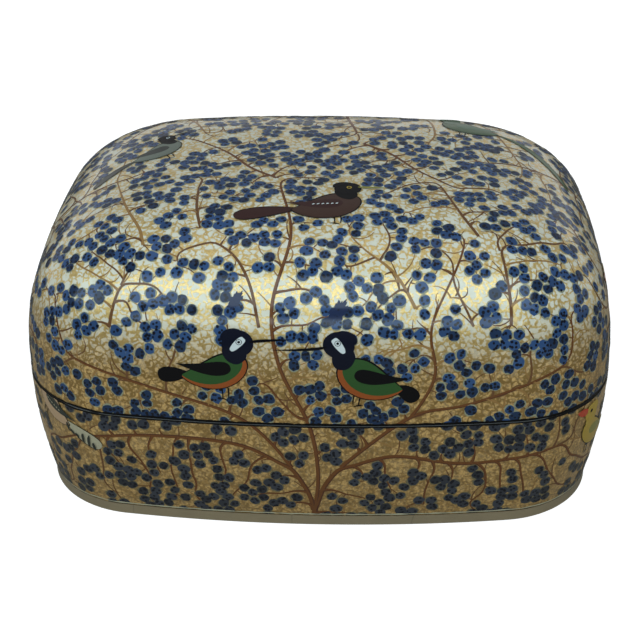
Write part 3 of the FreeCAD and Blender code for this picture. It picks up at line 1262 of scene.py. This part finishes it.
def leaf(start, middle, end, half_width, start_power=0.5, end_power=0.5, rows=22, columns=9):
    """Flat brush shape along a quadratic curve, as a grid of points.

    Its half width at s is w s^p (1 - s)^q over the greatest value that s^p (1 - s)^q has, so a power of a
    half ends it round and more than one ends it in a point.
    """
    start, middle, end = (np.array(p, dtype=float) for p in (start, middle, end))
    s = 0.5 - 0.5 * np.cos(np.linspace(0.0, np.pi, rows))
    turn = s[:, None]
    line = start * (1 - turn) ** 2 + 2 * middle * turn * (1 - turn) + end * turn**2
    run = 2 * (middle - start) * (1 - turn) + 2 * (end - middle) * turn
    run /= np.linalg.norm(run, axis=1, keepdims=True) + TINY
    across = np.stack([run[:, 1], -run[:, 0]], axis=1)
    widest = start_power / (start_power + end_power)
    most = widest**start_power * (1 - widest) ** end_power
    width = half_width * s**start_power * (1 - s) ** end_power / most
    places = np.linspace(-1.0, 1.0, columns)
    return line[:, None] + across[:, None] * (width[:, None] * places)[..., None]


def circle(middle, radius):
    x, y = middle
    return leaf((x - radius, y), (x, y), (x + radius, y), radius, rows=16)


def bird_look(style):
    """A style's colours and proportions over the usual ones. A belly not given has the body's colour."""
    look = {**USUAL_BIRD, **BIRD_STYLES[style]}
    look.setdefault("belly", look["body"])
    return look


def bird_shapes(style):
    """A perching bird that faces right, as brush shapes from the lowest layer up, each with its colour."""
    look = bird_look(style)
    girth = look["girth"]
    size = look["head_size"]
    tail = (RUMP, *tail_points(look))
    head_x, head_y = head = look["head_at"]
    reach = head_x - USUAL_BIRD["head_at"][0]
    eye = (head_x + 0.03, head_y + 0.04)
    bill_start = (head_x + size * 0.8, head_y + look["bill_base"])
    bill_end = (head_x + size + look["bill_length"], head_y + look["bill_rise"])
    bill = (bill_start, (bill_start[0] + 0.2, (bill_start[1] + bill_end[1]) / 2), bill_end)
    neck_foot = (0.47 + reach * 0.1, 0.15 - reach * 0.35)
    neck = ((head_x - size * 0.7, head_y + 0.02), (head_x - 0.07, head_y - 0.12), neck_foot)
    skull = ((head_x - size, head_y), head, (head_x + size * 1.05, head_y + 0.05))
    crest_top = (head_x - size * 0.9, head_y + size * 0.85)
    crest = ((head_x - size * 0.95, head_y + 0.05), crest_top, (head_x + 0.05, head_y + size * 0.92))
    shapes = [(leaf(*toe, 0.012), "black") for toe in LEGS]
    shapes += [
        (leaf(*tail, look["tail_width"] + 0.02, 0.85, 0.4, rows=34), "black"),
        (leaf(*tail, look["tail_width"], 0.9, 0.42, rows=34), look["tail"]),
        (leaf((-0.57, -0.16), (0.11, -0.26), (0.49, 0.24), 0.278 * girth, 0.8, 0.5), "black"),
        (leaf(*BREAST, 0.260 * girth, 0.8, 0.5), look["belly"]),
        (leaf((-0.57, -0.14), (0.04, -0.16), (0.43, 0.26), 0.251 * girth, 0.85, 0.5), "black"),
        (leaf(*BREAST, 0.225 * girth, 0.8, 0.5), look["belly"]),
        (leaf((-0.55, -0.14), (0.04, -0.17), (0.42, 0.24), 0.235 * girth, 0.85, 0.5), look["body"]),
        (leaf((-0.66, 0.07), (-0.10, -0.06), (0.27, 0.04), 0.128, 1.25, 0.45), look["wing"]),
        (leaf(*neck, size * 0.74, 0.5, 0.4), look["head"]),
        (leaf(*skull, size * 0.95), look["head"]),
        (leaf(*crest, size * 0.3), look["head"]),
        (leaf(*bill, look["bill_width"], 0.4, 0.9), look["bill"]),
    ]
    if look["cheek"]:
        cheek = ((head_x - 0.1, head_y - 0.12), head, (head_x + 0.11, head_y + 0.11))
        shapes.append((leaf(*cheek, 0.066, 0.36, 0.2), look["cheek"]))
        shapes.append((circle(eye, 0.052), "black"))
    shapes.append((circle(eye, 0.042), look["eye"]))
    shapes.append((circle(eye, 0.024), "black"))
    if look["marks"]:
        for x in -0.22 + np.arange(6) * 0.075:
            mark = leaf((x, -0.03), (x + 0.02, 0.0), (x + 0.045, -0.01), 0.014, rows=6)
            shapes.append((mark, look["marks"]))
    for bar in look["bars"]:
        x, y = np.array(RUMP) * (1 - bar) + np.array(tail[2]) * bar
        half = look["tail_width"] * 0.9
        foot, tip = (x - 0.07, y - half), (x + 0.05, y + half * math.cos(bar * 9))
        shapes.append((leaf(foot, (x + 0.02, y - half * 0.3), tip, 0.03), "slate"))
    return shapes


def tail_points(look):
    """The point that a bird's tail bends by, and where it ends."""
    end = (RUMP[0] - look["tail_length"], RUMP[1] + look["tail_drop"])
    bend = (RUMP[0] - look["tail_length"] * 0.55, RUMP[1] + look["tail_drop"] * 0.2)
    return bend, end


def place_bird(form, bird, flat):
    """Flat points of a bird turned, mirrored, sized and laid on the surface at its place."""
    _, place, size, tilt, faces_left, hint = bird
    flat = flat * size
    turn = math.radians(tilt)
    x = flat[..., 0] * math.cos(turn) - flat[..., 1] * math.sin(turn)
    y = flat[..., 0] * math.sin(turn) + flat[..., 1] * math.cos(turn)
    flat = np.stack([-x if faces_left else x, y], axis=-1).reshape(1, -1, 2)
    centre = form.settle_either(np.array([place]))
    return put_flat(form, centre, flat, None if hint is None else np.array([hint]))[0]


def bird_space(form, bird):
    """Points along a bird's middle that blossoms keep clear of."""
    tail_end = tail_points(bird_look(bird[0]))[1]
    share = np.linspace(0.0, 0.95, 6)[:, None]
    tail = np.array(RUMP) * (1 - share) + np.array(tail_end) * share
    return form.settle_either(place_bird(form, bird, np.vstack([BIRD_MIDDLE, tail])))


def ragged_leaves(sizes):
    """Slanted leaves as a middle and a ring, of radius r (1 + 0.13 sin 7t + 0.1 sin 17t + 0.06 sin 29t)."""
    corners = 72
    turn = np.linspace(0.0, 2 * np.pi, corners, endpoint=False) + np.arange(len(sizes))[:, None]
    edge = 1 + 0.13 * np.sin(7 * turn) + 0.1 * np.sin(17 * turn) + 0.06 * np.sin(29 * turn)
    ring = np.stack([np.cos(turn) * edge, np.sin(turn) * edge], axis=-1) * sizes[:, None, None]
    slanted = ring @ np.array([[0.8, 0.1], [0.45, 1.1]])
    return np.concatenate([np.zeros((len(sizes), 1, 2)), slanted], axis=1)


def make_birds(form):
    paints = {}
    for name, value in BIRD_COLOURS.items():
        varnish = DEEP_VARNISH if name in ("black", "navy") else VARNISH
        paints[name] = lacquer_paint(name + "_body_colour", linear(value), varnish)
    paintings = {body: Painting(form, body) for body in (BASE, LID)}
    for bird in BIRDS:
        body = LID if bird[1][2] >= form.parting else BASE
        for layer, (shape, colour) in enumerate(bird_shapes(bird[0])):
            faces = grid_faces(*shape.shape[:2])
            lift = BIRD_LIFT + LAYER * layer
            paintings[body].add(place_bird(form, bird, shape), faces, paints[colour], lift)
    places, sizes = zip(*LOOSE_LEAVES)
    places = form.settle_either(np.array(places))
    leaves = ragged_leaves(np.array(sizes))
    add_discs(form, paintings[LID], places, leaves, paints["deep_indigo"], BIRD_LIFT)
    for body, painting in paintings.items():
        painting.make(body + "_birds")


# Materials


def feed(tree, node, inputs):
    """Gives a node its inputs, which are values or other nodes' outputs, by the input's name or number."""
    for key, value in inputs.items():
        if isinstance(value, bpy.types.NodeSocket):
            tree.links.new(value, node.inputs[key])
        else:
            node.inputs[key].default_value = value


def add_node(tree, kind, inputs=None, **settings):
    """New node of a kind, with its settings and inputs."""
    node = tree.nodes.new(kind)
    for name, value in settings.items():
        setattr(node, name, value)
    feed(tree, node, inputs or {})
    return node


def noise(tree, place, scale, detail, roughness=0.5, output=0):
    """Soft noise over a place in millimetres. Its output is 0 for a value and 1 for a colour."""
    inputs = {"Vector": place, "Scale": scale, "Detail": detail, "Roughness": roughness}
    return add_node(tree, "ShaderNodeTexNoise", inputs).outputs[output]


def cell_edges(tree, place, scale, randomness=1.0):
    """Distance to the nearest edge between the cells of a Voronoi pattern."""
    inputs = {"Vector": place, "Scale": scale, "Randomness": randomness}
    return add_node(tree, "ShaderNodeTexVoronoi", inputs, feature="DISTANCE_TO_EDGE").outputs[0]


def ramp(tree, value, start, end, low=0.0, high=1.0, kind="SMOOTHSTEP"):
    """Goes from low to high while the value goes from start to end, by a smooth step or a straight line."""
    inputs = {"Value": value, "From Min": start, "From Max": end, "To Min": low, "To Max": high}
    return add_node(tree, "ShaderNodeMapRange", inputs, interpolation_type=kind).outputs[0]


def compute(tree, operation, first, second):
    """A Math node's result for two values."""
    return add_node(tree, "ShaderNodeMath", {0: first, 1: second}, operation=operation).outputs[0]


def mix_colours(tree, share, first, second):
    """Colour between two, by a share. Each is another node's output or a linear red, green and blue."""
    ends = (end if isinstance(end, bpy.types.NodeSocket) else (*end, 1.0) for end in (first, second))
    inputs = dict(zip((0, 6, 7), (share, *ends)))
    return add_node(tree, "ShaderNodeMix", inputs, data_type="RGBA").outputs[2]


def bump(tree, height, strength, distance, under=None):
    """Normal that a height tilts, on top of the normal under it where there is one."""
    inputs = {"Height": height, "Strength": strength, "Distance": distance}
    if under is not None:
        inputs["Normal"] = under
    return add_node(tree, "ShaderNodeBump", inputs).outputs[0]


def empty_tree(owner, output_kind):
    """A material's or world's node tree, emptied but for a new output."""
    owner.use_nodes = True
    tree = owner.node_tree
    tree.nodes.clear()
    return tree, add_node(tree, output_kind)


def new_material(name):
    """Material with a Principled shader and its output, and the object's coordinates in millimetres."""
    material = bpy.data.materials.new(name)
    tree, output = empty_tree(material, "ShaderNodeOutputMaterial")
    shader = add_node(tree, "ShaderNodeBsdfPrincipled")
    feed(tree, output, {0: shader.outputs[0]})
    place = add_node(tree, "ShaderNodeTexCoord").outputs["Object"]
    millimetres = add_node(tree, "ShaderNodeMapping", {"Vector": place, "Scale": (1 / MM,) * 3})
    return material, tree, shader, millimetres.outputs[0]


def add_copal_varnish(tree, shader, place, weight=VARNISH, relief=None):
    """Hand-laid copal varnish: a clear glossy coat with long shallow waves, over the paint's own relief."""
    waves = noise(tree, place, scale=0.13, detail=2.0, roughness=0.45)
    strokes = noise(tree, place, scale=2.2, detail=3.0, roughness=0.6)
    coat = bump(tree, waves, strength=1.0, distance=0.14 * MM)
    paint = bump(tree, strokes, strength=0.5, distance=0.03 * MM, under=coat)
    if relief is not None:
        paint = bump(tree, relief, strength=1.0, distance=0.03 * MM, under=paint)
    surface = {
        "Normal": paint,
        "Specular IOR Level": 0.04,
        "Coat Normal": bump(tree, strokes, strength=0.25, distance=0.012 * MM, under=coat),
        "Coat Weight": weight,
        "Coat Roughness": 0.11,
        "Coat IOR": 1.5,
    }
    feed(tree, shader, surface)


@lru_cache(maxsize=None)
def lacquer_paint(name, colour, varnish=VARNISH):
    """Body colour under varnish: even pigment in gum, brushed on, with a soft sheen of its own."""
    material, tree, shader, place = new_material(name)
    feed(tree, shader, {"Base Color": (*colour, 1.0), "Roughness": 0.5})
    add_copal_varnish(tree, shader, place, varnish)
    return material


def gold_lines(tree, place, pitch):
    """Value that is 1 on the gold lines and 0 between them.

    They are the edges of Voronoi cells whose place is pushed about by a noise, broken here and there, as a
    painter's vermicelli are.
    """
    warp = noise(tree, place, 1.1 / pitch, 2.0, output=1)
    centred = add_node(tree, "ShaderNodeVectorMath", {0: warp, 1: (0.5,) * 3}, operation="SUBTRACT")
    push = {0: centred.outputs[0], 1: (1.3 * pitch,) * 3, 2: place}
    pushed = add_node(tree, "ShaderNodeVectorMath", push, operation="MULTIPLY_ADD")
    line = ramp(tree, cell_edges(tree, pushed.outputs[0], 1 / pitch, 0.9), 0.08, 0.19, 1.0, 0.0)
    whole = ramp(tree, noise(tree, place, 0.9 / pitch, 2.0), 0.36, 0.46)
    return compute(tree, "MULTIPLY", line, whole)


@lru_cache(maxsize=None)
def gold_ground():
    """Gesso and a pale silvery body colour with shell-gold line work over it, varnished.

    Towards the foot a warm wash, painted shade and reflected light, covers the ground; the lines go ochre
    and faint.
    """
    colours = read_colours()
    ground, gold, warm_shade = (np.array(colour) for colour in (colours.ground, colours.gold, colours.warm_shade_wash))
    material, tree, shader, place = new_material("gold_line_work_on_gesso")
    lines = gold_lines(tree, place, read_ornament().gold_pitch / MM)
    height = add_node(tree, "ShaderNodeSeparateXYZ", {0: place}).outputs[2]
    speck = ramp(tree, noise(tree, place, scale=1.3, detail=3.0, roughness=0.65), 0.36, 0.64)
    # Painted shade and painted warm reflected light: the darker warm wash grows from the crown down to the
    # foot
    wash = ramp(tree, height, *WARM_SHADE_HEIGHTS, 0.92, 0.0)
    faint = ramp(tree, height, *FAINT_LINES, 0.45, 1.0, "LINEAR")
    gesso = mix_colours(tree, noise(tree, place, scale=0.35, detail=3.0), ground * 0.86, ground * 1.08)
    speckled_shade = mix_colours(tree, speck, warm_shade * DARKEST_SHADE_SHARE, warm_shade)
    leaf_gold = mix_colours(tree, speck, gold * 0.75, gold)
    under = mix_colours(tree, wash, gesso, speckled_shade)
    over = mix_colours(tree, wash, leaf_gold, warm_shade * DARKEST_SHADE_SHARE)
    surface = {
        "Base Color": mix_colours(tree, compute(tree, "MULTIPLY", lines, faint), under, over),
        "Metallic": ramp(tree, lines, 0.0, 1.0, 0.06, 0.55, "LINEAR"),
        "Roughness": ramp(tree, lines, 0.0, 1.0, 0.45, 0.33, "LINEAR"),
    }
    feed(tree, shader, surface)
    add_copal_varnish(tree, shader, place, relief=lines)
    return material


@lru_cache(maxsize=None)
def black_lacquer():
    """Lamp black under varnish, as inside the box: deep, glossy, with brushed waves."""
    material, tree, shader, place = new_material("lamp_black_lacquer")
    dark = np.array(read_colours().lacquer)
    colour = mix_colours(tree, noise(tree, place, scale=0.09, detail=4.0), dark * 0.7, dark * 1.5)
    feed(tree, shader, {"Base Color": colour, "Roughness": 0.45})
    add_copal_varnish(tree, shader, place)
    return material


@lru_cache(maxsize=None)
def foot_paint():
    """Cream distemper on the board's edge: matt to satin, a little dirty, with hairline cracks."""
    material, tree, shader, place = new_material("cream_distemper")
    cream = np.array(read_colours().foot)
    mottle = noise(tree, place, scale=0.18, detail=5.0, roughness=0.6)
    ground = mix_colours(tree, mottle, cream * 0.78, np.minimum(cream * 1.12, 1.0))
    stretched = add_node(tree, "ShaderNodeMapping", {"Vector": place, "Scale": (1.0, 1.0, 0.25)})
    crack = ramp(tree, cell_edges(tree, stretched.outputs[0], 0.022), 0.0, 0.004, 0.55, 0.0, "LINEAR")
    surface = {
        "Base Color": mix_colours(tree, crack, ground, linear(CRACK_COLOUR)),
        "Roughness": 0.42,
        "IOR": 1.5,
        "Normal": bump(tree, mottle, strength=0.6, distance=0.25 * MM),
    }
    feed(tree, shader, surface)
    return material


# Stage


def place_looking(name, data, right, up, back, place):
    """Object put into the scene at a place, with the three axes given, so that it looks against back."""
    thing = bpy.data.objects.new(name, data)
    bpy.context.scene.collection.objects.link(thing)
    rows = [[right[i], up[i], back[i], place[i]] for i in range(3)]
    thing.matrix_world = Matrix(rows + [[0.0, 0.0, 0.0, 1.0]])
    return thing


def add_softbox(name, place, size, power, colour):
    """Area light at a place that faces the box."""
    lamp = bpy.data.lights.new(name, "AREA")
    lamp.shape = "RECTANGLE"
    lamp.size, lamp.size_y = size
    lamp.energy = power
    lamp.color = colour
    away = np.array(place) - np.array(LAMPS_AIM)
    away /= np.linalg.norm(away)
    right = np.cross([0.0, 1.0, 0.0] if abs(away[2]) > 0.99 else [0.0, 0.0, 1.0], away)
    right /= np.linalg.norm(right)
    place_looking(name, lamp, right, np.cross(away, right), away, place)


def white_for_camera(tree, share):
    """Socket that is 1 for camera rays, and a share for glossy and transmission rays."""
    path = add_node(tree, "ShaderNodeLightPath").outputs
    bounced = compute(tree, "MAXIMUM", path["Is Glossy Ray"], path["Is Transmission Ray"])
    return compute(tree, "MAXIMUM", path["Is Camera Ray"], compute(tree, "MULTIPLY", bounced, share))


def backdrop_share(tree):
    """How much of the white backdrop a gloss shows, by the way that its ray goes.

    The backdrop stands only behind the object, so rays that go back to the front see the dimmer room, and
    rays that go high see its paler top: a smooth step of the ray's run along +Y, times one of its rise.
    """
    run = add_node(tree, "ShaderNodeTexCoord").outputs["Generated"]
    along = add_node(tree, "ShaderNodeSeparateXYZ", {0: run}).outputs
    behind = ramp(tree, along[1], -0.3, 0.3)
    low = ramp(tree, along[2], 0.1, 0.4, 1.0, 0.25)
    return compute(tree, "MULTIPLY", behind, low)


def make_world():
    world = bpy.data.worlds.new("white_studio")
    tree, output = empty_tree(world, "ShaderNodeOutputWorld")
    room, white = (
        add_node(tree, "ShaderNodeBackground", {"Color": (1.0, 1.0, 1.0, 1.0), "Strength": strength})
        for strength in (ROOM_LIGHT, 1.0)
    )
    share = white_for_camera(tree, backdrop_share(tree))
    mix = add_node(tree, "ShaderNodeMixShader", {0: share, 1: room.outputs[0], 2: white.outputs[0]})
    feed(tree, output, {0: mix.outputs[0]})
    bpy.context.scene.world = world


def paper_sweep():
    """White paper. What the camera sees of it is white but for the object's soft shadow."""
    material = bpy.data.materials.new("white_paper_sweep")
    tree, output = empty_tree(material, "ShaderNodeOutputMaterial")
    paper = add_node(tree, "ShaderNodeBsdfDiffuse", {"Color": PAPER})
    dimmed = add_node(tree, "ShaderNodeBsdfDiffuse", {"Color": SHADED_PAPER})
    place = add_node(tree, "ShaderNodeTexCoord").outputs["Object"]
    away = add_node(tree, "ShaderNodeVectorMath", {0: place}, operation="LENGTH").outputs["Value"]
    strength = ramp(tree, away, *GLOW_OVER, LEAST_GLOW, 1.0, "LINEAR")
    glow = add_node(tree, "ShaderNodeEmission", {"Strength": strength})
    shown = add_node(tree, "ShaderNodeAddShader", {0: dimmed.outputs[0], 1: glow.outputs[0]})
    share = white_for_camera(tree, FLOOR_GLOSS_SHARE)
    mix = add_node(tree, "ShaderNodeMixShader", {0: share, 1: paper.outputs[0], 2: shown.outputs[0]})
    feed(tree, output, {0: mix.outputs[0]})
    return material


def make_floor():
    """Round sheet of rings about a middle point, just under the foot."""
    turn = np.linspace(0.0, 2 * np.pi, FLOOR_CORNERS, endpoint=False)
    low = np.full(FLOOR_CORNERS, -FLOOR_DROP)
    rings = [np.stack([np.cos(turn) * r, np.sin(turn) * r, low], axis=-1) for r in FLOOR_REACHES]
    points = np.vstack([[[0.0, 0.0, -FLOOR_DROP]], *rings])
    index = 1 + np.arange(len(rings) * FLOOR_CORNERS).reshape(len(rings), FLOOR_CORNERS)
    beside = np.roll(index, -1, axis=1)
    quads = np.stack([index[:-1], index[1:], beside[1:], beside[:-1]], axis=-1).reshape(-1, 4)
    mesh = bpy.data.meshes.new("paper_sweep")
    mesh.from_pydata(points, [], fan_faces(FLOOR_CORNERS, 1).tolist() + quads.tolist())
    mesh.materials.append(paper_sweep())
    floor = bpy.data.objects.new("paper_sweep", mesh)
    bpy.context.scene.collection.objects.link(floor)


def make_camera():
    """Camera that looks down on the box's front from a little to its right."""
    turn, tip, roll = 0.039, 0.529, -0.005
    distance = 418.0 * MM
    shift_right, shift_up, aim_height = -0.53 * MM, -3.04 * MM, 33.3 * MM
    back = np.array([math.sin(turn) * math.cos(tip), -math.cos(turn) * math.cos(tip), math.sin(tip)])
    level = np.array([math.cos(turn), math.sin(turn), 0.0])
    upward = np.cross(back, level)
    right = math.cos(roll) * level + math.sin(roll) * upward
    up = -math.sin(roll) * level + math.cos(roll) * upward
    place = np.array([0.0, 0.0, aim_height]) + right * shift_right + up * shift_up + back * distance
    data = bpy.data.cameras.new("camera")
    data.lens = 85.27
    data.sensor_width = 36.0
    data.clip_start = 0.01
    bpy.context.scene.camera = place_looking("camera", data, right, up, back, place)


class BoxStep:
    """Makes its own part of the scene from the values in the panel"""

    def execute(self, context):
        self.make(read_form())
        return {"FINISHED"}


class PAPIERBOX_OT_shells(BoxStep, bpy.types.Operator):
    """Makes the moulded lid and base, the collar and the foot board"""

    bl_idname = "papierbox.shells"
    bl_label = "Shells, Collar and Foot"

    def make(self, form):
        make_lid(form)
        make_base(form)
        make_collar(form)
        make_foot(form)


class PAPIERBOX_OT_lines(BoxStep, bpy.types.Operator):
    """Paints the black rim lines and the lines over the foot"""

    bl_idname = "papierbox.lines"
    bl_label = "Rim and Foot Lines"

    def make(self, form):
        make_lines(form, np.random.default_rng(LINES_SEED))


class PAPIERBOX_OT_twigs(BoxStep, bpy.types.Operator):
    """Paints the stems and twigs"""

    bl_idname = "papierbox.twigs"
    bl_label = "Stems and Twigs"

    def make(self, form):
        make_twigs(form, np.random.default_rng(TWIGS_SEED))


class PAPIERBOX_OT_blossoms(BoxStep, bpy.types.Operator):
    """Paints the blossoms with their halos and dots"""

    bl_idname = "papierbox.blossoms"
    bl_label = "Blossoms"

    def make(self, form):
        make_blossoms(form, np.random.default_rng(BLOSSOMS_SEED))


class PAPIERBOX_OT_birds(BoxStep, bpy.types.Operator):
    """Paints the birds"""

    bl_idname = "papierbox.birds"
    bl_label = "Birds"

    def make(self, form):
        make_birds(form)


class PAPIERBOX_OT_stage(BoxStep, bpy.types.Operator):
    """Sets up the floor, the light and the camera"""

    bl_idname = "papierbox.stage"
    bl_label = "Floor, Light and Camera"

    def make(self, form):
        make_world()
        make_floor()
        for softbox in SOFTBOXES:
            add_softbox(*softbox)
        make_camera()
        bpy.context.scene.view_settings.view_transform = "Standard"


OPERATORS = (
    PAPIERBOX_OT_shells,
    PAPIERBOX_OT_lines,
    PAPIERBOX_OT_twigs,
    PAPIERBOX_OT_blossoms,
    PAPIERBOX_OT_birds,
    PAPIERBOX_OT_stage,
)


class PAPIERBOX_PT_panel(bpy.types.Panel):
    """Lists the box's pieces and the values that shape them"""

    bl_idname = "PAPIERBOX_PT_panel"
    bl_label = "Papier Mache Box"
    bl_space_type = "VIEW_3D"
    bl_region_type = "UI"
    bl_category = "Papier Mache Box"

    def draw(self, context):
        scene = context.scene
        for operator in OPERATORS:
            self.layout.operator(operator.bl_idname)
        for group in (scene.papier_box_shape, scene.papier_box_ornament, scene.papier_box_colours):
            column = self.layout.column(align=True)
            for name in group.__annotations__:
                column.prop(group, name)


CLASSES = (BoxShape, BoxOrnament, BoxColours, *OPERATORS, PAPIERBOX_PT_panel)


def register():
    for item in CLASSES:
        bpy.utils.register_class(item)
    bpy.types.Scene.papier_box_shape = bpy.props.PointerProperty(type=BoxShape)
    bpy.types.Scene.papier_box_ornament = bpy.props.PointerProperty(type=BoxOrnament)
    bpy.types.Scene.papier_box_colours = bpy.props.PointerProperty(type=BoxColours)


def unregister():
    del bpy.types.Scene.papier_box_colours
    del bpy.types.Scene.papier_box_ornament
    del bpy.types.Scene.papier_box_shape
    for item in reversed(CLASSES):
        bpy.utils.unregister_class(item)


def main():
    register()
    bpy.ops.papierbox.shells()
    bpy.ops.papierbox.lines()
    bpy.ops.papierbox.twigs()
    bpy.ops.papierbox.blossoms()
    bpy.ops.papierbox.birds()
    bpy.ops.papierbox.stage()
    bpy.context.view_layer.update()


if __name__ == "__main__":
    main()
